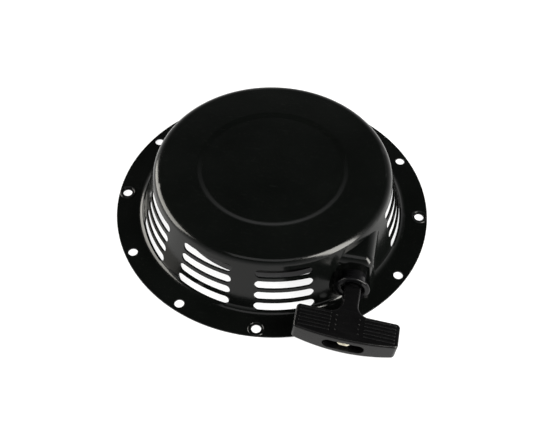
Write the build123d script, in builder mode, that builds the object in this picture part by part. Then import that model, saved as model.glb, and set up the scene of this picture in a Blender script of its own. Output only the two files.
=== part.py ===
"""Recoil starter: pressed steel housing, rope reel with spring and pawls, and a T-handle on its rope.

Origin: centre of the mounting flange's underside. +Z runs along the reel axis to the closed top,
and the rope is pulled out along -Y.
"""

import os
from math import cos, radians, sin, tan

from build123d import *

# Housing, one steel pressing
SHEET = 1.2
FLANGE_R = 145.0
DRUM_R = 120.4
DRUM_H = 54.5
WALL_LEAN = 15.0
TOP_EDGE_R = 7.0
BASE_BEND_R = 6.0
RECESS_DEPTH = 1.3
RECESS_R = 63.5
RECESS_RAMP = 4.4
RECESS_BEND_R = 5.0

# Flange holes, every third one in a raised seat
BOLT_CIRCLE_R = 137.5
HOLE_COUNT = 12
HOLE_R = 4.25
HOLE_START = -85.0
SEAT_COUNT = 4
SEAT_BEAD_R = 6.6
BEAD_R = 0.9

# Cooling slots, punched in groups of four round the wall, with the rope pocket in place of one group
VENT_START = 285.6
VENT_PITCH = 36.0
VENT_GROUPS = 9
VENT_ANGLE = 25.5
VENT_ROWS = 4
VENT_TOP = 45.3
VENT_ROW_PITCH = 11.4
VENT_H = 8.3
PUNCH_REACH = 12.0

# Rope line and the pocket pressed round it
ROPE_X = 86.7
ROPE_Z = 22.0
ROPE_R = 2.75
POCKET_RIGHT = 104.2
POCKET_LEFT = 40.0
POCKET_BACK = 15.0
POCKET_FRONT = 86.0
POCKET_TOP = 45.8
POCKET_DRAFT = 4.0
POCKET_CORNER_R = 10.0
POCKET_EDGE_R = 9.5
DISH_R = 20.0
DISH_Y = 82.0

# Rope guide and the push-on clip behind it
NECK_R = 10.4
RIM_R = 15.0
RIM_W = 3.0
GUIDE_FRONT = 96.0
GUIDE_BACK = 76.0
CUP_R = 9.8
CUP_DEPTH = 6.0
GUIDE_BORE_R = 3.3
CLIP_R = 12.0
CLIP_W = 1.2
CLIP_GAP = 0.1

# Centre post and what hangs on it
POST_FLANGE_R = 18.0
POST_FLANGE_W = 2.0
ARBOR_R = 13.0
ARBOR_Z = 31.8
POST_R = 9.0
SHOULDER_Z = 15.2
SPIGOT_R = 6.0
SPIGOT_Z = 7.6
SCREW_R = 2.95
SCREW_HOLE_R = 3.0
SCREW_LENGTH = 20.0
SCREW_HEAD_R = 6.5
SCREW_HEAD_W = 4.0
HEX_KEY = 5.0
WASHER_R = 11.0
WASHER_W = 1.2
THRUST_W = 0.8

# Reel
REEL_R = 91.0
REEL_TOP = 28.7
REEL_PLATE = 2.5
GROOVE_R = 64.0
CORE_WALL = 4.0
GROOVE_LOW = 17.8
SKIRT_LOW = 10.4
BOSS_R = 40.0
BOSS_LOW = 15.3
BUSH_R = 10.6
BUSH_TOP = 29.5
RUNNING = 0.05
RIB_COUNT = 8
RIB_START = 39.0
RIB_END = 61.0
RIB_W = 3.0
RIB_LOW = 18.0
TAIL_HOLE_R = 4.0
TAIL_HOLE_Y = 8.6

# Wound rope
WIND_PITCH = 6.0
WIND_HALF_TURNS = 6
TAIL_BEND_R = 9.0
KNOT_R = 4.1

# Spring can
CAN_R = 50.0
CAN_WALL = 1.0
CAN_BORE_R = 15.5
CAN_TOP = 45.0
LID_SKIRT = 3.0
EAR_R = 60.0
CAN_SCREW_R = 55.0
CAN_SCREWS = 3
M4_R = 2.0
M4_HEAD_R = 3.8
M4_HEAD_W = 2.4
M4_LENGTH = 8.0
SPRING_LOW = 33.0
SPRING_W = 10.5
SPRING_T = 0.7
SPRING_PITCH = 3.8
SPRING_HALF_TURNS = 16
SPRING_R = 44.5
HOOK_R = 1.9
ANCHOR_R = 1.3
SCREW_SLOT_W = 1.0

# Ratchet: the guide plate turns on the post and swings both pawls by their pegs
PIVOT_R = 30.0
PIN_R = 3.0
PIN_LENGTH = 13.0
PAWL_LOW = 11.0
PAWL_T = 3.6
PAWL_LENGTH = 24.0
PAWL_W = 8.0
PAWL_REST = -88.0
PAWL_SWING = 28.0
PLATE_TURN = 22.0
PEG_R = 2.0
PEG_REACH = 12.0
PEG_GAP = 0.35
PLATE_R = 41.5
PLATE_LOW = 8.3
PLATE_T = 2.0
COIL_WIRE_R = 0.55
PAWL_COIL_R = 4.6
PAWL_COIL_H = 3.0
PAWL_COIL_TURNS = 2.5
COIL_POCKET_R = 6.2
COIL_POCKET_H = 4.2
FRICTION_COIL_R = 7.6
FRICTION_COIL_H = 2.6
FRICTION_COIL_TURNS = 2.0

# Handle
GRIP_ROLL = 5.5
GRIP_LENGTH = 86.5
GRIP_BACK = 125.9
GRIP_FRONT = 148.6
GRIP_BULGE = 3.8
GRIP_TOP = 8.8
GRIP_LOW = 8.0
GRIP_BELLY = 3.6
GRIP_EDGE_R = 1.6
GRIP_CORNER_R = 3.5
STEM_W = 14.0
STEM_EDGE_R = 2.0
STEM_START = 98.0
STEM_FILLET_R = 10.0
NOSE_START = 93.0
NOSE_R = 6.9
KNOT_SLOT_L = 35.0
KNOT_SLOT_H = 11.0
KNOT_SLOT_DEPTH = 11.0
KNOT_SLOT_DROP = 1.5
WASHER_SEAT_DEPTH = 1.5
GRIP_BORE_R = 3.1
RIB_RUN = 26.0
RIB_SECTION = 1.4
RIB_RISE = 0.9
RIB_ROUND_R = 0.55
RIB_LANES = 6
RIB_LANE_PITCH = 3.3
RIB_CENTRE = 27.0
DOT_R = 0.7
DOT_OUT = 9.5
DOT_PITCH = 4.6
DOT_LANES = 4
GRIP_WASHER_R = 5.6
GRIP_WASHER_W = 1.2
GRIP_KNOT_L = 11.6
GRIP_KNOT_H = 7.6
KNOT_BODY = 8.2
KNOT_ROUND_R = 3.0
ROPE_GAP = 0.3

RING = (Align.CENTER, Align.CENTER, Align.MIN)


def polar(radius, angle, z=0.0):
    """Point at a radius and an angle in degrees."""
    return (radius * cos(radians(angle)), radius * sin(radians(angle)), z)


def facing_front(y, z_dir=-1):
    """Plane across the rope line, y in front of the origin."""
    return Plane(origin=(ROPE_X, -y, ROPE_Z), x_dir=(1, 0, 0), z_dir=(0, z_dir, 0))


def pressed_form(inset):
    """Solid inside the pressing's outer face (inset 0) or its inner face (inset SHEET)."""
    foot = SHEET - inset
    top = DRUM_H - inset
    pocket_top = POCKET_TOP - inset
    base_r = DRUM_R - inset / cos(radians(WALL_LEAN))
    rim_r = base_r - DRUM_H * tan(radians(WALL_LEAN))
    front_corner = (POCKET_RIGHT - inset, inset - POCKET_FRONT)
    with BuildPart() as form:
        with BuildSketch(Plane.XZ) as half:
            with BuildLine():
                Polyline(
                    (0, foot - SHEET),
                    (FLANGE_R, foot - SHEET),
                    (FLANGE_R, foot),
                    (base_r, foot),
                    (rim_r, top),
                    (RECESS_R + RECESS_RAMP, top),
                    (RECESS_R, top - RECESS_DEPTH),
                    (0, top - RECESS_DEPTH),
                    close=True,
                )
            make_face()
            corners = half.vertices()
            fillet(corners.sort_by_distance((rim_r, top))[0], TOP_EDGE_R - inset)
            fillet(half.vertices().sort_by_distance((base_r, foot))[0], BASE_BEND_R + inset)
            fillet(half.vertices().sort_by_distance((RECESS_R, top))[:2], RECESS_BEND_R)
        revolve(axis=Axis.Z)
        with BuildSketch(Plane.XY.offset(foot)) as plan:
            with BuildLine():
                Polyline(
                    (POCKET_LEFT, inset - POCKET_FRONT),
                    front_corner,
                    (POCKET_RIGHT - inset, -POCKET_BACK),
                    (POCKET_LEFT, -POCKET_BACK),
                    close=True,
                )
            make_face()
            fillet(plan.vertices().sort_by_distance(front_corner)[0], POCKET_CORNER_R - inset)
        extrude(amount=pocket_top - foot, taper=POCKET_DRAFT)
        rims = form.edges().filter_by_position(Axis.Z, pocket_top - 0.01, pocket_top + 0.01)
        fillet(rims.sort_by_distance((*front_corner, pocket_top))[:3], POCKET_EDGE_R - inset)
        with BuildSketch(facing_front(DISH_Y - inset)):
            Circle(DISH_R + inset)
        extrude(amount=POCKET_FRONT, mode=Mode.SUBTRACT)
    return form.part


def wind(outer_x, pitch, half_turns, shift=0.0):
    """Half circles joined end to end from (outer_x, 0) inwards, each drawn shift outside that line."""
    x = outer_x
    for turn in range(half_turns):
        side = 1 if turn % 2 == 0 else -1
        centre = side * pitch / 4
        radius = side * (x - centre)
        CenterArc((centre, 0), radius + shift, 0 if side == 1 else 180, 180)
        x = centre - side * radius


def flat_ring(outer_r, inner_r, low, thickness):
    """Plain ring about the reel axis."""
    with BuildPart() as washer:
        with BuildSketch(Plane.XY.offset(low)):
            Circle(outer_r)
            Circle(inner_r, mode=Mode.SUBTRACT)
        extrude(amount=thickness)
    return washer.part


def spring_coil(centre, coil_r, height, turns):
    """Wire coil standing on a point, its axis along Z."""
    with BuildPart() as coil:
        with BuildLine() as wire:
            Helix(height / turns, height, coil_r, center=centre)
        with BuildSketch(Plane(origin=wire.line @ 0, z_dir=wire.line % 0)):
            Circle(COIL_WIRE_R)
        sweep()
    return coil.part


# Housing body

with BuildPart() as housing_cover:
    add(pressed_form(0.0))
    add(pressed_form(SHEET), mode=Mode.SUBTRACT)
    with PolarLocations(BOLT_CIRCLE_R, SEAT_COUNT, start_angle=HOLE_START):
        Torus(SEAT_BEAD_R, BEAD_R, align=RING)
    with BuildSketch():
        with PolarLocations(BOLT_CIRCLE_R, HOLE_COUNT, start_angle=HOLE_START):
            Circle(HOLE_R)
    extrude(amount=PUNCH_REACH, both=True, mode=Mode.SUBTRACT)
    for row in range(VENT_ROWS):
        vent_z = VENT_TOP - VENT_H / 2 - row * VENT_ROW_PITCH
        wall_r = DRUM_R - vent_z * tan(radians(WALL_LEAN))
        vent_angles = [VENT_START - VENT_PITCH * group for group in range(VENT_GROUPS)]
        wall_planes = [
            Plane(origin=polar(wall_r, angle, vent_z), x_dir=polar(1, angle + 90), z_dir=polar(1, angle))
            for angle in vent_angles
        ]
        with BuildSketch(*wall_planes):
            SlotOverall(2 * wall_r * sin(radians(VENT_ANGLE / 2)), VENT_H)
        extrude(amount=PUNCH_REACH, both=True, mode=Mode.SUBTRACT)
    with BuildSketch(facing_front(GUIDE_BACK)):
        Circle(NECK_R)
    extrude(amount=RIM_R, mode=Mode.SUBTRACT)

post_top = DRUM_H - RECESS_DEPTH - SHEET
with BuildPart() as centre_post:
    with BuildSketch(Plane.XZ):
        with BuildLine():
            Polyline(
                (SCREW_HOLE_R, SPIGOT_Z),
                (SPIGOT_R, SPIGOT_Z),
                (SPIGOT_R, SHOULDER_Z),
                (POST_R, SHOULDER_Z),
                (POST_R, ARBOR_Z),
                (ARBOR_R, ARBOR_Z),
                (ARBOR_R, post_top - POST_FLANGE_W),
                (POST_FLANGE_R, post_top - POST_FLANGE_W),
                (POST_FLANGE_R, post_top),
                (0, post_top),
                (0, ARBOR_Z),
                (SCREW_HOLE_R, ARBOR_Z),
                close=True,
            )
        make_face()
    revolve(axis=Axis.Z)
    chamfer(centre_post.edges().filter_by_position(Axis.Z, SPIGOT_Z - 0.01, SPIGOT_Z + 0.01)[0], 0.5)

with BuildPart() as rope_guide:
    with BuildSketch(Plane.XY.offset(ROPE_Z)) as spool:
        with BuildLine():
            Polyline(
                (ROPE_X + GUIDE_BORE_R, -GUIDE_BACK),
                (ROPE_X + NECK_R, -GUIDE_BACK),
                (ROPE_X + NECK_R, RIM_W - GUIDE_FRONT),
                (ROPE_X + RIM_R, RIM_W - GUIDE_FRONT),
                (ROPE_X + RIM_R, -GUIDE_FRONT),
                (ROPE_X + CUP_R, -GUIDE_FRONT),
                (ROPE_X + CUP_R - 1.5, CUP_DEPTH - GUIDE_FRONT),
                (ROPE_X + GUIDE_BORE_R, CUP_DEPTH + 1.0 - GUIDE_FRONT),
                close=True,
            )
        make_face()
        fillet(spool.vertices().filter_by_position(Axis.X, ROPE_X + RIM_R, ROPE_X + RIM_R), RIM_W / 2 - 0.1)
        fillet(spool.vertices().sort_by_distance((ROPE_X + CUP_R, -GUIDE_FRONT))[0], 2.0)
        fillet(spool.vertices().sort_by_distance((ROPE_X + NECK_R, RIM_W - GUIDE_FRONT))[0], 1.5)
    revolve(axis=Axis((ROPE_X, 0, ROPE_Z), (0, 1, 0)))

with BuildPart() as rope_guide_clip:
    with BuildSketch(facing_front(DISH_Y - SHEET - CLIP_GAP - CLIP_W)):
        Circle(CLIP_R)
        Circle(NECK_R, mode=Mode.SUBTRACT)
    extrude(amount=CLIP_W)

washer_low = SPIGOT_Z - WASHER_W
centre_washer = flat_ring(WASHER_R, SCREW_HOLE_R + RUNNING, washer_low, WASHER_W)
thrust_washer = flat_ring(WASHER_R, SPIGOT_R + RUNNING, SHOULDER_Z - THRUST_W, THRUST_W)

with BuildPart() as centre_screw:
    with BuildSketch(Plane.XY.offset(washer_low - SCREW_HEAD_W)):
        Circle(SCREW_HEAD_R)
    extrude(amount=SCREW_HEAD_W)
    fillet(centre_screw.edges().group_by(Axis.Z)[0], 0.8)
    with BuildSketch(Plane.XY.offset(washer_low)):
        Circle(SCREW_R)
    extrude(amount=SCREW_LENGTH)
    with BuildSketch(Plane.XY.offset(washer_low - SCREW_HEAD_W)):
        RegularPolygon(HEX_KEY / 2, 6, major_radius=False)
    extrude(amount=SCREW_HEAD_W - 1, mode=Mode.SUBTRACT)

friction_spring = spring_coil(
    (0, 0, PLATE_LOW + PLATE_T + COIL_WIRE_R + 0.1), FRICTION_COIL_R, FRICTION_COIL_H, FRICTION_COIL_TURNS
)

# Reel body

with BuildPart() as reel:
    with BuildSketch(Plane.XZ) as section:
        with BuildLine():
            Polyline(
                (BUSH_R, BOSS_LOW),
                (BOSS_R, BOSS_LOW),
                (BOSS_R, REEL_TOP - REEL_PLATE),
                (GROOVE_R - CORE_WALL, REEL_TOP - REEL_PLATE),
                (GROOVE_R - CORE_WALL, GROOVE_LOW - REEL_PLATE),
                (REEL_R, GROOVE_LOW - REEL_PLATE),
                (REEL_R, GROOVE_LOW),
                (GROOVE_R, GROOVE_LOW),
                (GROOVE_R, REEL_TOP - REEL_PLATE),
                (REEL_R, REEL_TOP - REEL_PLATE),
                (REEL_R, REEL_TOP),
                (BUSH_R, REEL_TOP),
                close=True,
            )
        make_face()
        fillet(section.vertices().sort_by_distance((REEL_R, REEL_TOP))[:2], 1.0)
    revolve(axis=Axis.Z)
    with BuildSketch(Plane.XY.offset(RIB_LOW)):
        with PolarLocations(RIB_START, RIB_COUNT, start_angle=180 / RIB_COUNT):
            Rectangle(RIB_END - RIB_START, RIB_W, align=(Align.MIN, Align.CENTER))
    extrude(amount=REEL_TOP - REEL_PLATE - RIB_LOW)
    with PolarLocations(PIVOT_R, 2):
        with Locations((0, 0, BOSS_LOW)):
            Cylinder(COIL_POCKET_R, COIL_POCKET_H, align=RING, mode=Mode.SUBTRACT)
            Cylinder(PIN_R, PIN_LENGTH - BOSS_LOW + PAWL_LOW, align=RING, mode=Mode.SUBTRACT)
    with PolarLocations(CAN_SCREW_R, CAN_SCREWS, start_angle=90):
        with Locations((0, 0, REEL_TOP - M4_LENGTH)):
            Cylinder(M4_HEAD_R, M4_LENGTH, align=RING)
            Cylinder(M4_R, M4_LENGTH, align=RING, mode=Mode.SUBTRACT)
    with BuildSketch(Plane(origin=(BOSS_R, TAIL_HOLE_Y, ROPE_Z), z_dir=(1, 0, 0))):
        Circle(TAIL_HOLE_R)
    extrude(amount=GROOVE_R - BOSS_R, mode=Mode.SUBTRACT)

skirt_top = GROOVE_LOW - REEL_PLATE
reel_skirt = flat_ring(REEL_R, REEL_R - REEL_PLATE, SKIRT_LOW, skirt_top - SKIRT_LOW)
reel_bush = flat_ring(BUSH_R, POST_R + RUNNING, BOSS_LOW, BUSH_TOP - BOSS_LOW)

wind_end_x = ROPE_X - WIND_PITCH * WIND_HALF_TURNS / 2
with BuildPart() as wound_rope:
    with BuildLine(Plane.XY.offset(ROPE_Z)) as rope_line:
        wind(ROPE_X, WIND_PITCH, WIND_HALF_TURNS)
        tail_bend = CenterArc((wind_end_x - TAIL_BEND_R, 0), TAIL_BEND_R, 0, 90)
        Line(tail_bend @ 1, tail_bend @ 1 - (KNOT_R / 2, 0))
    with BuildSketch(Plane(origin=(ROPE_X, 0, ROPE_Z), z_dir=(0, 1, 0))):
        Circle(ROPE_R)
    sweep()

with BuildPart() as reel_knot:
    with Locations((wind_end_x - TAIL_BEND_R - 1.5 * KNOT_R, TAIL_BEND_R, ROPE_Z)):
        Sphere(KNOT_R)

can_floor = REEL_TOP + CLIP_GAP
with BuildPart() as spring_can:
    with BuildSketch(Plane.XY.offset(can_floor)):
        Circle(EAR_R)
        Circle(CAN_BORE_R, mode=Mode.SUBTRACT)
        with PolarLocations(CAN_SCREW_R, CAN_SCREWS, start_angle=90):
            Circle(M4_R + CLIP_GAP, mode=Mode.SUBTRACT)
    extrude(amount=CAN_WALL)
    with BuildSketch(Plane.XY.offset(can_floor)):
        Circle(CAN_R)
        Circle(CAN_R - CAN_WALL, mode=Mode.SUBTRACT)
    extrude(amount=CAN_TOP - can_floor)

with BuildPart() as spring_lid:
    with BuildSketch(Plane.XY.offset(CAN_TOP)):
        Circle(CAN_R + CAN_WALL)
        Circle(CAN_BORE_R, mode=Mode.SUBTRACT)
    extrude(amount=CAN_WALL)
    with BuildSketch(Plane.XY.offset(CAN_TOP)):
        Circle(CAN_R + CAN_WALL)
        Circle(CAN_R + RUNNING, mode=Mode.SUBTRACT)
    extrude(amount=-LID_SKIRT)

with BuildPart() as recoil_spring:
    with BuildLine(Plane.XY.offset(SPRING_LOW + SPRING_W / 2)) as strip:
        wind(SPRING_R, SPRING_PITCH, SPRING_HALF_TURNS)
    with BuildSketch(Plane(origin=strip.line @ 0, x_dir=(1, 0, 0), z_dir=(0, 1, 0))):
        Rectangle(SPRING_T, SPRING_W)
    sweep()
    with BuildSketch(Plane.XY.offset(SPRING_LOW)):
        SlotArc(CenterArc((SPRING_R + HOOK_R, 0), HOOK_R, 180, 180, mode=Mode.PRIVATE), SPRING_T)
    extrude(amount=SPRING_W)

with BuildPart() as spring_anchor_pin:
    with Locations((SPRING_R + HOOK_R, 0, can_floor + CAN_WALL)):
        Cylinder(ANCHOR_R, CAN_TOP - can_floor - CAN_WALL - CLIP_GAP, align=RING)

with BuildPart() as can_screws:
    with PolarLocations(CAN_SCREW_R, CAN_SCREWS, start_angle=90):
        with Locations((0, 0, can_floor + CAN_WALL)):
            Cylinder(M4_HEAD_R, M4_HEAD_W, align=RING)
            Cylinder(M4_R, M4_LENGTH, align=(Align.CENTER, Align.CENTER, Align.MAX))
            with Locations((0, 0, M4_HEAD_W / 2)):
                Box(2 * M4_HEAD_R, SCREW_SLOT_W, M4_HEAD_W / 2, align=RING, mode=Mode.SUBTRACT)

with BuildPart() as pawl_pins:
    with PolarLocations(PIVOT_R, 2):
        with Locations((0, 0, PAWL_LOW)):
            Cylinder(PIN_R, PIN_LENGTH, align=RING)

with BuildPart() as pawl_springs:
    for pin_x in (PIVOT_R, -PIVOT_R):
        add(spring_coil((pin_x, 0, BOSS_LOW + COIL_WIRE_R), PAWL_COIL_R, PAWL_COIL_H, PAWL_COIL_TURNS))


def peg_place(share):
    """Peg centre, seen from the guide plate, at a share of the full swing."""
    direction = PAWL_REST + share * PAWL_SWING
    peg = Vector(PIVOT_R, 0) + Vector(*polar(PEG_REACH, direction))
    return peg.rotate(Axis.Z, -share * PLATE_TURN)


def pawl(side):
    """Pawl on the pin at +X (side 0) or -X (side 1)."""
    spin = 180 * side
    base = Plane(origin=polar(PIVOT_R, spin, PAWL_LOW), x_dir=polar(1, spin + PAWL_REST))
    with BuildPart() as lever:
        with BuildSketch(base):
            Circle(PAWL_W / 2 + 1)
            with BuildLine():
                Polyline(
                    (0, -PAWL_W / 2),
                    (PAWL_LENGTH - PAWL_W / 2, -PAWL_W / 2),
                    (PAWL_LENGTH, 0),
                    (PAWL_LENGTH, PAWL_W / 2),
                    (0, PAWL_W / 2),
                    close=True,
                )
            make_face()
            Circle(PIN_R + RUNNING, mode=Mode.SUBTRACT)
        extrude(amount=PAWL_T)
        with BuildSketch(base):
            with Locations((PEG_REACH, 0)):
                Circle(PEG_R)
        extrude(amount=PLATE_LOW - PAWL_LOW)
    return lever.part


pawl_a = pawl(0)
pawl_b = pawl(1)

with BuildPart() as guide_plate:
    with BuildSketch(Plane.XY.offset(PLATE_LOW)):
        Circle(PLATE_R)
        Circle(SPIGOT_R + RUNNING, mode=Mode.SUBTRACT)
        track = ThreePointArc(peg_place(0), peg_place(0.5), peg_place(1), mode=Mode.PRIVATE)
        SlotArc(track, 2 * (PEG_R + PEG_GAP), mode=Mode.SUBTRACT)
        SlotArc(track, 2 * (PEG_R + PEG_GAP), rotation=180, mode=Mode.SUBTRACT)
    extrude(amount=PLATE_T)

# Handle, built on the rope line and rolled a little about it

grip = Plane(
    origin=(ROPE_X, 0, ROPE_Z),
    x_dir=(cos(radians(GRIP_ROLL)), 0, -sin(radians(GRIP_ROLL))),
    z_dir=(sin(radians(GRIP_ROLL)), 0, cos(radians(GRIP_ROLL))),
)


def across_grip(y):
    """Plane across the handle, y in front of the origin, facing forwards."""
    return Plane(origin=(ROPE_X, -y, ROPE_Z), x_dir=grip.x_dir, z_dir=(0, -1, 0))


slot_floor = GRIP_FRONT + GRIP_BULGE - KNOT_SLOT_DEPTH
half_length = GRIP_LENGTH / 2
half_stem = STEM_W / 2
flare = half_stem + STEM_FILLET_R
stem_end = GRIP_BACK + GRIP_CORNER_R
up = Axis(grip.origin, grip.z_dir)

with BuildPart() as stem:
    with BuildSketch(grip.offset(-half_stem)) as stem_plan:
        with BuildLine():
            Line((0, -STEM_START), (half_stem, -STEM_START))
            Line((half_stem, -STEM_START), (half_stem, STEM_FILLET_R - GRIP_BACK))
            CenterArc((flare, STEM_FILLET_R - GRIP_BACK), STEM_FILLET_R, 180, 90)
            Line((flare, -GRIP_BACK), (flare, -stem_end))
            Line((flare, -stem_end), (0, -stem_end))
            mirror(about=Plane.YZ)
        make_face()
    extrude(amount=half_stem + GRIP_TOP)
    free_edges = stem.edges().filter_by(lambda edge: edge.center().Y > -GRIP_BACK)
    fillet(free_edges.group_by(up)[0] + free_edges.group_by(up)[-1], STEM_EDGE_R)

rib_y = -(GRIP_BACK + GRIP_FRONT) / 2
with BuildPart() as grip_ribs:
    with BuildSketch(grip.offset(GRIP_TOP - RIB_RISE)):
        for wing in (-1, 1):
            with Locations((wing * RIB_CENTRE, rib_y)):
                with GridLocations(1, RIB_LANE_PITCH, 1, RIB_LANES):
                    SlotOverall(RIB_RUN, RIB_SECTION)
            with Locations((wing * DOT_OUT, rib_y)):
                with GridLocations(1, DOT_PITCH, 1, DOT_LANES):
                    Circle(DOT_R)
    extrude(amount=2 * RIB_RISE)
    fillet(grip_ribs.edges().group_by(up)[-1], RIB_ROUND_R)

with BuildPart() as handle_grip:
    with BuildSketch(across_grip(GRIP_BACK)):
        with BuildLine():
            Line((-half_length, GRIP_TOP), (half_length, GRIP_TOP))
            Line((half_length, GRIP_TOP), (half_length, -GRIP_LOW))
            ThreePointArc((half_length, -GRIP_LOW), (0, -GRIP_LOW - GRIP_BELLY), (-half_length, -GRIP_LOW))
            Line((-half_length, -GRIP_LOW), (-half_length, GRIP_TOP))
        make_face()
    extrude(amount=GRIP_FRONT + GRIP_BULGE - GRIP_BACK)
    with BuildSketch(grip) as plan:
        with BuildLine():
            Line((-half_length, -GRIP_FRONT), (-half_length, -GRIP_BACK))
            Line((-half_length, -GRIP_BACK), (half_length, -GRIP_BACK))
            Line((half_length, -GRIP_BACK), (half_length, -GRIP_FRONT))
            ThreePointArc((half_length, -GRIP_FRONT), (0, -GRIP_FRONT - GRIP_BULGE), (-half_length, -GRIP_FRONT))
        make_face()
        fillet(plan.vertices(), GRIP_CORNER_R)
    extrude(amount=GRIP_LENGTH, both=True, mode=Mode.INTERSECT)
    fillet(handle_grip.edges(), GRIP_EDGE_R)
    add(stem.part)
    with BuildSketch(across_grip(NOSE_START)):
        Circle(NOSE_R)
    extrude(amount=STEM_START + STEM_FILLET_R - NOSE_START)
    add(grip_ribs.part)
    with BuildSketch(across_grip(GRIP_FRONT + GRIP_BULGE)):
        with Locations((0, -KNOT_SLOT_DROP)):
            SlotOverall(KNOT_SLOT_L, KNOT_SLOT_H)
    extrude(amount=-KNOT_SLOT_DEPTH, mode=Mode.SUBTRACT)
    with BuildSketch(across_grip(slot_floor)):
        Circle(GRIP_WASHER_R + ROPE_GAP)
    extrude(amount=WASHER_SEAT_DEPTH, mode=Mode.SUBTRACT)
    with BuildSketch(across_grip(NOSE_START)):
        Circle(GRIP_BORE_R)
    extrude(amount=GRIP_LENGTH, mode=Mode.SUBTRACT)

with BuildPart() as handle_washer:
    with BuildSketch(across_grip(slot_floor)):
        Circle(GRIP_WASHER_R)
        Circle(GRIP_BORE_R, mode=Mode.SUBTRACT)
    extrude(amount=GRIP_WASHER_W)

knot_y = slot_floor + GRIP_WASHER_W
with BuildPart() as handle_knot:
    with BuildSketch(across_grip(knot_y)):
        SlotOverall(GRIP_KNOT_L, GRIP_KNOT_H)
    extrude(amount=KNOT_BODY)
    fillet(handle_knot.edges().group_by(Axis.Y)[0], KNOT_ROUND_R)

with BuildPart() as rope_lead:
    with BuildSketch(facing_front(ROPE_GAP)):
        Circle(ROPE_R)
    extrude(amount=knot_y - ROPE_GAP)

os.makedirs("parts", exist_ok=True)
pieces = {
    "housing_cover": housing_cover.part,
    "centre_post": centre_post.part,
    "rope_guide": rope_guide.part,
    "rope_guide_clip": rope_guide_clip.part,
    "centre_screw": centre_screw.part,
    "centre_washer": centre_washer,
    "thrust_washer": thrust_washer,
    "friction_spring": friction_spring,
    "reel": reel.part,
    "reel_skirt": reel_skirt,
    "reel_bush": reel_bush,
    "wound_rope": wound_rope.part,
    "reel_knot": reel_knot.part,
    "spring_can": spring_can.part,
    "spring_lid": spring_lid.part,
    "recoil_spring": recoil_spring.part,
    "spring_anchor_pin": spring_anchor_pin.part,
    "can_screws": can_screws.part,
    "pawl_pins": pawl_pins.part,
    "pawl_springs": pawl_springs.part,
    "pawl_a": pawl_a,
    "pawl_b": pawl_b,
    "guide_plate": guide_plate.part,
    "handle_grip": handle_grip.part,
    "handle_washer": handle_washer.part,
    "handle_knot": handle_knot.part,
    "rope_lead": rope_lead.part,
}
for name, piece in pieces.items():
    piece.label = name
    export_step(piece, f"parts/{name}.step")
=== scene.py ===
"""Looks of the recoil starter: materials, pull rope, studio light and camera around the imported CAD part."""

import math

import bpy
from mathutils import Matrix, Vector


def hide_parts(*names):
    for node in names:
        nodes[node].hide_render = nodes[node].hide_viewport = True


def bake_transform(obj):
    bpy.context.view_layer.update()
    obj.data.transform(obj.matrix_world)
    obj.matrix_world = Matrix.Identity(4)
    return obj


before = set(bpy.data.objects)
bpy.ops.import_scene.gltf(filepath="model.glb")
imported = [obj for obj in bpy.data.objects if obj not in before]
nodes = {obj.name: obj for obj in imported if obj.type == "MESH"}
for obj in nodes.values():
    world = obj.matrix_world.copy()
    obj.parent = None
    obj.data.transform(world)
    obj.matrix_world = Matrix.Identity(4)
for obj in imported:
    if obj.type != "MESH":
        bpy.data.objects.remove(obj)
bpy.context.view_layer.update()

# Rope line, metres
ROPE_X = 0.0867
ROPE_Z = 0.022
ROPE_R = 0.00272
ROPE_START = -0.0003
ROPE_END = -0.1424
TUBE_RINGS = 260
TUBE_SIDES = 20
BRAID_DEPTH = 0.00012
BRAID_PITCH = 0.0052
BRAID_STRANDS = 4
WOUND_RUN = 96.0
WOUND_TURN = 1.2

# Rope colours
ROPE_WHITE = (0.80, 0.76, 0.62)
ROPE_SHADE = (0.42, 0.38, 0.27)
ROPE_SOIL = (0.30, 0.26, 0.19)
# Painted shade: the straight and wound rope inside the housing are coloured dark in place of the shade there;
# the rope's own colour is the knot's cream
ROPE_PAINTED_SHADE = (0.20, 0.19, 0.16)
ROPE_SHADOW = (0.06, 0.055, 0.045)

# Camera, fitted to the flange's outline and its holes
CAM_ELEVATION = 51.38
CAM_ROLL = 1.13
CAM_AZIMUTH = 9.8
CAM_DISTANCE = 0.8599
CAM_SHIFT = (-0.00016, -0.01746)
CAM_LENS = 60.46
CAM_SENSOR = 36.0
CAM_NEAR = 0.01

# Floor, sky and light
FLOOR_Z = -0.0004
FLOOR_SIZE = 12.0
FLOOR_GLOW = 0.88
FLOOR_DARK = (0.16, 0.16, 0.16)
FLOOR_LIGHT = (0.20, 0.20, 0.20)
SKY_HORIZON_Z = 0.05
SKY_DARK_Z = 0.74
SKY_HORIZON = 1.0
SKY_DARK = 0.02
WHITE = (1.0, 1.0, 1.0)
PART_MIDDLE = (0.0, 0.0, 0.03)


# ---------------------------------------------------------------- material nodes


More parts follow.
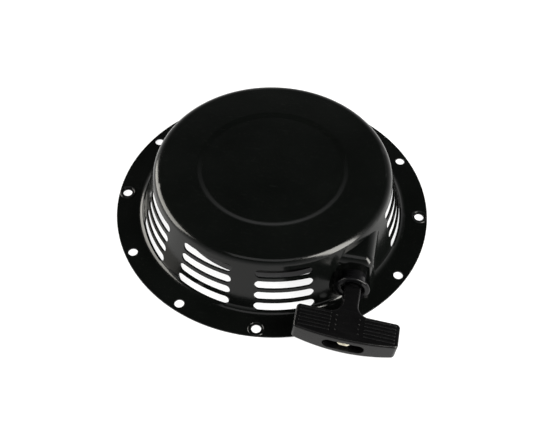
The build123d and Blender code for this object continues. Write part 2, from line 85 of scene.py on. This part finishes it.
class Shader:
    """A Principled material with short calls for the nodes that drive it."""

    def __init__(self, name, **constants):
        self.material = bpy.data.materials.new(name)
        self.material.use_nodes = True
        self.tree = self.material.node_tree
        self.body = self.tree.nodes["Principled BSDF"]
        self.coordinates = self.tree.nodes.new("ShaderNodeTexCoord").outputs["Object"]
        self.height = None
        for socket, value in constants.items():
            self.body.inputs[socket.replace("_", " ")].default_value = value

    def node(self, kind, inputs=None, **settings):
        """A new node. An input given as a socket is linked, and any other value is set on it."""
        new = self.tree.nodes.new(kind)
        for key, value in settings.items():
            setattr(new, key, value)
        for key, value in (inputs or {}).items():
            if isinstance(value, bpy.types.NodeSocket):
                self.tree.links.new(value, new.inputs[key])
            else:
                new.inputs[key].default_value = value
        return new

    def stretched(self, scale):
        """Object coordinates scaled along each axis."""
        return self.node("ShaderNodeMapping", {"Vector": self.coordinates, "Scale": scale}).outputs[0]

    def noise(self, scale, detail=3.0, roughness=0.55, vector=None, distortion=0.0):
        inputs = {
            "Vector": vector or self.coordinates,
            "Scale": scale,
            "Detail": detail,
            "Roughness": roughness,
            "Distortion": distortion,
        }
        return self.node("ShaderNodeTexNoise", inputs).outputs["Fac"]

    def ramp(self, fac, low, high, start=0.0, end=1.0):
        """fac from start..end mapped to low..high, held at both ends."""
        inputs = {"Value": fac, "From Min": start, "From Max": end, "To Min": low, "To Max": high}
        return self.node("ShaderNodeMapRange", inputs).outputs["Result"]

    def mix(self, fac, first, second):
        """Blend of two colours, each given as a socket or as red, green and blue."""
        new = self.node("ShaderNodeMix", data_type="RGBA")
        colours = [socket for socket in new.inputs if socket.type == "RGBA"]
        self.tree.links.new(fac, new.inputs[0])
        for socket, value in zip(colours, (first, second)):
            if isinstance(value, bpy.types.NodeSocket):
                self.tree.links.new(value, socket)
            else:
                socket.default_value = (*value, 1.0)
        return next(socket for socket in new.outputs if socket.type == "RGBA")

    def math(self, operation, first, second=0.0):
        return self.node("ShaderNodeMath", {0: first, 1: second}, operation=operation).outputs[0]

    def colour(self, socket):
        self.tree.links.new(socket, self.body.inputs["Base Color"])
        return self

    def rough(self, socket):
        self.tree.links.new(socket, self.body.inputs["Roughness"])
        return self

    def bump(self, height, distance, strength=1.0):
        """Adds a layer of relief on top of the earlier ones. distance is in metres."""
        inputs = {"Height": height, "Distance": distance, "Strength": strength}
        if self.height:
            inputs["Normal"] = self.height
        self.height = self.node("ShaderNodeBump", inputs).outputs["Normal"]
        self.tree.links.new(self.height, self.body.inputs["Normal"])
        return self


def gloss_paint(name, colour, tint, rough_low, rough_high):
    """Stoved gloss paint: orange peel, thin dust and faint handling marks."""
    shader = Shader(name, Specular_IOR_Level=0.24)
    dust_colour = (0.30, 0.29, 0.27)
    scuff_colour = tuple(4.0 * channel for channel in tint)
    cloud = shader.noise(scale=18.0, detail=4.0)
    dust = shader.ramp(shader.noise(scale=2300.0, detail=2.0), low=0.0, high=1.0, start=0.70, end=0.80)
    scratches = shader.noise(scale=90.0, detail=5.0, roughness=0.7, vector=shader.stretched((1.0, 6.0, 1.0)))
    scuffs = shader.ramp(scratches, low=0.0, high=1.0, start=0.6, end=0.78)
    base = shader.mix(cloud, colour, tint)
    worn = shader.mix(shader.ramp(scuffs, low=0.0, high=0.35), base, scuff_colour)
    shader.colour(shader.mix(shader.ramp(dust, low=0.0, high=0.10), worn, dust_colour))
    patchy = shader.ramp(cloud, low=rough_low, high=rough_high, start=0.3, end=0.7)
    shader.rough(shader.math("ADD", patchy, shader.ramp(scuffs, low=0.0, high=0.12)))
    shader.bump(shader.noise(scale=520.0, detail=2.0), distance=0.00003, strength=0.5)
    shader.bump(shader.noise(scale=60.0, detail=2.0), distance=0.00015, strength=0.35)
    return shader.material


def moulded(name, colour, tint, rough_low, rough_high, grain=0.00004, scale=1500.0):
    """Moulded plastic: fine grain, slow colour drift, slightly polished patches."""
    shader = Shader(name, Specular_IOR_Level=0.18)
    drawn = shader.stretched((1.0, 4.0, 4.0))
    cloud = shader.noise(scale=35.0, detail=3.0)
    flow = shader.noise(scale=60.0, detail=4.0, roughness=0.6, vector=drawn, distortion=0.4)
    shader.colour(shader.mix(cloud, colour, tint))
    shader.rough(shader.ramp(flow, low=rough_low, high=rough_high, start=0.3, end=0.7))
    shader.bump(shader.noise(scale=scale, detail=3.0), distance=grain, strength=0.6)
    shader.bump(shader.noise(scale=150.0, detail=2.0), distance=0.00008, strength=0.25)
    return shader.material


def metal(name, colour, tint, rough_low, rough_high, brushed=(1.0, 1.0, 14.0), specks=(0.25, 0.2, 0.15)):
    """Worked steel or plating: drawn streaks, clouded tone and small dull spots."""
    shader = Shader(name, Metallic=1.0)
    cloud = shader.noise(scale=45.0, detail=4.0)
    streaks = shader.noise(scale=260.0, detail=5.0, roughness=0.65, vector=shader.stretched(brushed))
    spots = shader.ramp(shader.noise(scale=700.0, detail=3.0), low=0.0, high=0.5, start=0.66, end=0.78)
    clouded = shader.math("MULTIPLY", cloud, shader.ramp(streaks, low=0.7, high=1.2))
    shader.colour(shader.mix(spots, shader.mix(clouded, colour, tint), specks))
    shader.rough(shader.ramp(streaks, low=rough_low, high=rough_high, start=0.3, end=0.7))
    shader.bump(streaks, distance=0.00004, strength=0.4)
    return shader.material


def braided(name, along, around, colour, shade, soiled):
    """Braided cord. along gives the angle run down the rope, around the angle about it, in radians."""
    shader = Shader(name, Sheen_Weight=0.3, Sheen_Roughness=0.5)
    run, turn = along(shader), around(shader)
    counter = shader.math("MULTIPLY", turn, float(BRAID_STRANDS))
    left = shader.math("SINE", shader.math("ADD", run, counter))
    right = shader.math("SINE", shader.math("SUBTRACT", run, counter))
    weave = shader.math("MULTIPLY", left, right)
    fuzz = shader.noise(scale=2600.0, detail=3.0, roughness=0.6)
    dirt = shader.ramp(shader.noise(scale=70.0, detail=4.0), low=0.0, high=0.7, start=0.5, end=0.72)
    # Painted shade: the crevices between the strands take the shade colour
    weave_painted_shade = shader.mix(shader.ramp(weave, low=0.0, high=1.0, start=-0.7, end=0.5), shade, colour)
    tone = shader.mix(shader.ramp(fuzz, low=0.0, high=0.35, start=0.45, end=0.75), weave_painted_shade, shade)
    shader.colour(shader.mix(dirt, tone, soiled))
    shader.rough(shader.ramp(fuzz, low=0.72, high=0.92))
    shader.bump(weave, distance=0.0005, strength=0.8)
    shader.bump(fuzz, distance=0.00012, strength=0.5)
    return shader.material


def separate(shader):
    """Object coordinates as separate X, Y and Z sockets."""
    return shader.node("ShaderNodeSeparateXYZ", {"Vector": shader.coordinates}).outputs


def straight_run(shader):
    """Angle run down a rope that lies along Y."""
    return shader.math("MULTIPLY", separate(shader)["Y"], 2 * math.pi / BRAID_PITCH)


def straight_turn(shader):
    """Angle about the line of the straight rope."""
    xyz = separate(shader)
    side = shader.math("SUBTRACT", xyz["X"], ROPE_X)
    rise = shader.math("SUBTRACT", xyz["Z"], ROPE_Z)
    return shader.math("ARCTAN2", rise, side)


def wound_run(shader):
    """Angle run down the wound rope, worked out from the angle about the reel's axis."""
    xyz = separate(shader)
    angle = shader.math("ARCTAN2", xyz["Y"], xyz["X"])
    return shader.math("MULTIPLY", angle, WOUND_RUN)


def wound_turn(shader):
    """Roughly the angle about the wound rope's centre, from height alone, so it suits every layer."""
    rise = shader.math("SUBTRACT", separate(shader)["Z"], ROPE_Z)
    return shader.math("MULTIPLY", rise, WOUND_TURN / ROPE_R)


# The straight and wound rope take the dark painted-shade colour; the knot keeps the cream
straight_rope = braided("straight_rope", straight_run, straight_turn, ROPE_PAINTED_SHADE, ROPE_SHADOW, ROPE_SOIL)
knot_rope = braided("knot_rope", straight_run, straight_turn, ROPE_WHITE, ROPE_SHADE, ROPE_SHADE)
coiled_rope = braided("coiled_rope", wound_run, wound_turn, ROPE_PAINTED_SHADE, ROPE_SHADOW, ROPE_SOIL)

housing_paint = gloss_paint(
    "housing_paint",
    colour=(0.0009, 0.0011, 0.0010),
    tint=(0.0018, 0.0022, 0.0020),
    rough_low=0.11,
    rough_high=0.19,
)
guide_plastic = moulded(
    "guide_plastic",
    colour=(0.0015, 0.0015, 0.0018),
    tint=(0.003, 0.003, 0.0035),
    rough_low=0.14,
    rough_high=0.24,
    grain=0.00002,
)
grip_plastic = moulded(
    "grip_plastic",
    colour=(0.0008, 0.0008, 0.0009),
    tint=(0.0018, 0.0018, 0.0020),
    rough_low=0.20,
    rough_high=0.30,
)
reel_plastic = moulded(
    "reel_plastic",
    colour=(0.012, 0.012, 0.013),
    tint=(0.022, 0.022, 0.023),
    rough_low=0.38,
    rough_high=0.55,
    grain=0.00006,
    scale=900.0,
)
steel = metal("steel", colour=(0.50, 0.50, 0.51), tint=(0.34, 0.34, 0.36), rough_low=0.24, rough_high=0.42)
pawl_steel = metal(
    "pawl_steel",
    colour=(0.32, 0.31, 0.31),
    tint=(0.20, 0.19, 0.20),
    rough_low=0.28,
    rough_high=0.5,
    brushed=(3.0, 3.0, 3.0),
)
blued_steel = metal(
    "blued_steel",
    colour=(0.16, 0.19, 0.27),
    tint=(0.09, 0.10, 0.15),
    rough_low=0.2,
    rough_high=0.36,
    brushed=(1.0, 1.0, 20.0),
)
zinc = metal(
    "zinc",
    colour=(0.66, 0.66, 0.62),
    tint=(0.50, 0.50, 0.46),
    rough_low=0.26,
    rough_high=0.44,
    brushed=(4.0, 1.0, 1.0),
    specks=(0.42, 0.40, 0.34),
)
bronze = metal(
    "bronze",
    colour=(0.52, 0.36, 0.18),
    tint=(0.38, 0.25, 0.12),
    rough_low=0.34,
    rough_high=0.5,
    brushed=(1.0, 1.0, 1.0),
)

finishes = {
    housing_paint: ["housing_cover"],
    guide_plastic: ["rope_guide"],
    grip_plastic: ["handle_grip"],
    reel_plastic: ["reel", "reel_skirt"],
    knot_rope: ["handle_knot"],
    coiled_rope: ["wound_rope", "reel_knot"],
    steel: [
        "centre_post",
        "rope_guide_clip",
        "thrust_washer",
        "spring_can",
        "spring_lid",
        "spring_anchor_pin",
        "pawl_pins",
    ],
    pawl_steel: ["pawl_a", "pawl_b"],
    blued_steel: ["recoil_spring", "pawl_springs", "friction_spring"],
    zinc: ["centre_screw", "centre_washer", "can_screws", "guide_plate", "handle_washer"],
    bronze: ["reel_bush"],
}
for material, names in finishes.items():
    for name in names:
        mesh = nodes[name].data
        mesh.materials.clear()
        mesh.materials.append(material)

# ---------------------------------------------------------------- pull rope


def rope_ring(step):
    """One ring of the rope, its strands standing a little proud in a braid."""
    y = ROPE_START + (ROPE_END - ROPE_START) * step / (TUBE_RINGS - 1)
    run = 2 * math.pi * y / BRAID_PITCH
    ring = []
    for side in range(TUBE_SIDES):
        turn = 2 * math.pi * side / TUBE_SIDES
        weave = math.sin(run + BRAID_STRANDS * turn) * math.sin(run - BRAID_STRANDS * turn)
        radius = ROPE_R - BRAID_DEPTH * (1 - weave)
        ring.append((ROPE_X + radius * math.cos(turn), y, ROPE_Z + radius * math.sin(turn)))
    return ring


rings = [rope_ring(step) for step in range(TUBE_RINGS)]
vertices = [point for ring in rings for point in ring]
faces = []
for step in range(TUBE_RINGS - 1):
    for side in range(TUBE_SIDES):
        here = step * TUBE_SIDES + side
        beside = step * TUBE_SIDES + (side + 1) % TUBE_SIDES
        faces.append((here, beside, beside + TUBE_SIDES, here + TUBE_SIDES))
faces.append(tuple(range(TUBE_SIDES))[::-1])
faces.append(tuple(range(len(vertices) - TUBE_SIDES, len(vertices))))
rope_mesh = bpy.data.meshes.new("pull_rope")
rope_mesh.from_pydata(vertices, [], faces)
rope_mesh.polygons.foreach_set("use_smooth", [True] * len(rope_mesh.polygons))
rope_mesh.materials.append(straight_rope)
pull_rope = bpy.data.objects.new("pull_rope", rope_mesh)
bpy.context.scene.collection.objects.link(pull_rope)
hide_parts("rope_lead")
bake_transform(pull_rope)

# ---------------------------------------------------------------- floor, light and camera

# The floor glows, so that it is white through the slots, and it can be seen through from below.
floor_shader = Shader("floor_paper", Specular_IOR_Level=0.1)
floor_shader.colour(floor_shader.mix(floor_shader.noise(scale=3.0, detail=2.0), FLOOR_DARK, FLOOR_LIGHT))
floor_shader.rough(floor_shader.ramp(floor_shader.noise(scale=6.0), low=0.85, high=0.95))
floor_shader.body.inputs["Emission Color"].default_value = (*WHITE, 1.0)
floor_shader.body.inputs["Emission Strength"].default_value = FLOOR_GLOW
floor_output = floor_shader.tree.nodes["Material Output"]
glowing = floor_shader.body.outputs[0]
see_through = floor_shader.node("ShaderNodeBsdfTransparent").outputs[0]
underside = floor_shader.node("ShaderNodeNewGeometry").outputs["Backfacing"]
one_way = floor_shader.node("ShaderNodeMixShader", {0: underside, 1: glowing, 2: see_through})
floor_shader.tree.links.new(one_way.outputs[0], floor_output.inputs["Surface"])
bpy.ops.mesh.primitive_plane_add(size=FLOOR_SIZE, location=(0.0, 0.0, FLOOR_Z))
floor = bpy.context.object
floor.name = "floor"
floor.data.materials.append(floor_shader.material)


def softbox(name, place, target, size, power, colour=WHITE):
    """A rectangular light at place that faces target."""
    light = bpy.data.lights.new(name, "AREA")
    light.shape = "RECTANGLE"
    light.size, light.size_y = size
    light.energy = power
    light.color = colour
    lamp = bpy.data.objects.new(name, light)
    lamp.location = place
    aim = Vector(target) - Vector(place)
    lamp.rotation_euler = aim.to_track_quat("-Z", "Y").to_euler()
    bpy.context.scene.collection.objects.link(lamp)


softbox(
    "left_box",
    place=(-1.1, 0.1, 0.55),
    target=PART_MIDDLE,
    size=(1.2, 0.7),
    power=34.0,
    colour=(1.0, 0.97, 0.90),
)
softbox(
    "right_box",
    place=(1.0, -0.42, 0.75),
    target=PART_MIDDLE,
    size=(0.6, 1.3),
    power=52.0,
    colour=(1.0, 0.98, 0.92),
)
softbox("top_box", place=(0.0, -0.9, 2.4), target=(0.0, 0.0, 0.0), size=(1.6, 1.2), power=9.0)

world = bpy.data.worlds.new("studio")
bpy.context.scene.world = world
world.use_nodes = True
# The sky is bright at the horizon and dark overhead, so that the flat top stays dark.
sky = world.node_tree.nodes
background = sky["Background"]
direction = sky.new("ShaderNodeTexCoord").outputs["Generated"]
height = sky.new("ShaderNodeSeparateXYZ")
shade = sky.new("ShaderNodeMapRange")
world.node_tree.links.new(direction, height.inputs[0])
world.node_tree.links.new(height.outputs["Z"], shade.inputs["Value"])
world.node_tree.links.new(shade.outputs["Result"], background.inputs["Strength"])
shade.inputs["From Min"].default_value = SKY_HORIZON_Z
shade.inputs["From Max"].default_value = SKY_DARK_Z
shade.inputs["To Min"].default_value = SKY_HORIZON
shade.inputs["To Max"].default_value = SKY_DARK
background.inputs["Color"].default_value = (*WHITE, 1.0)

scene = bpy.context.scene
scene.view_settings.view_transform = "Standard"

elevation, roll = math.radians(CAM_ELEVATION), math.radians(CAM_ROLL)
back = Vector((0.0, -math.cos(elevation), math.sin(elevation)))
level_right = Vector((1.0, 0.0, 0.0))
level_up = back.cross(level_right)
right = math.cos(roll) * level_right + math.sin(roll) * level_up
up = math.cos(roll) * level_up - math.sin(roll) * level_right
spot = CAM_SHIFT[0] * right + CAM_SHIFT[1] * up + CAM_DISTANCE * back
placed = Matrix((right, up, back)).transposed().to_4x4()
placed.translation = spot
camera_data = bpy.data.cameras.new("camera")
camera_data.lens = CAM_LENS
camera_data.sensor_width = CAM_SENSOR
camera_data.clip_start = CAM_NEAR
camera = bpy.data.objects.new("camera", camera_data)
camera.matrix_world = Matrix.Rotation(math.radians(CAM_AZIMUTH), 4, "Z") @ placed
scene.collection.objects.link(camera)
scene.camera = camera
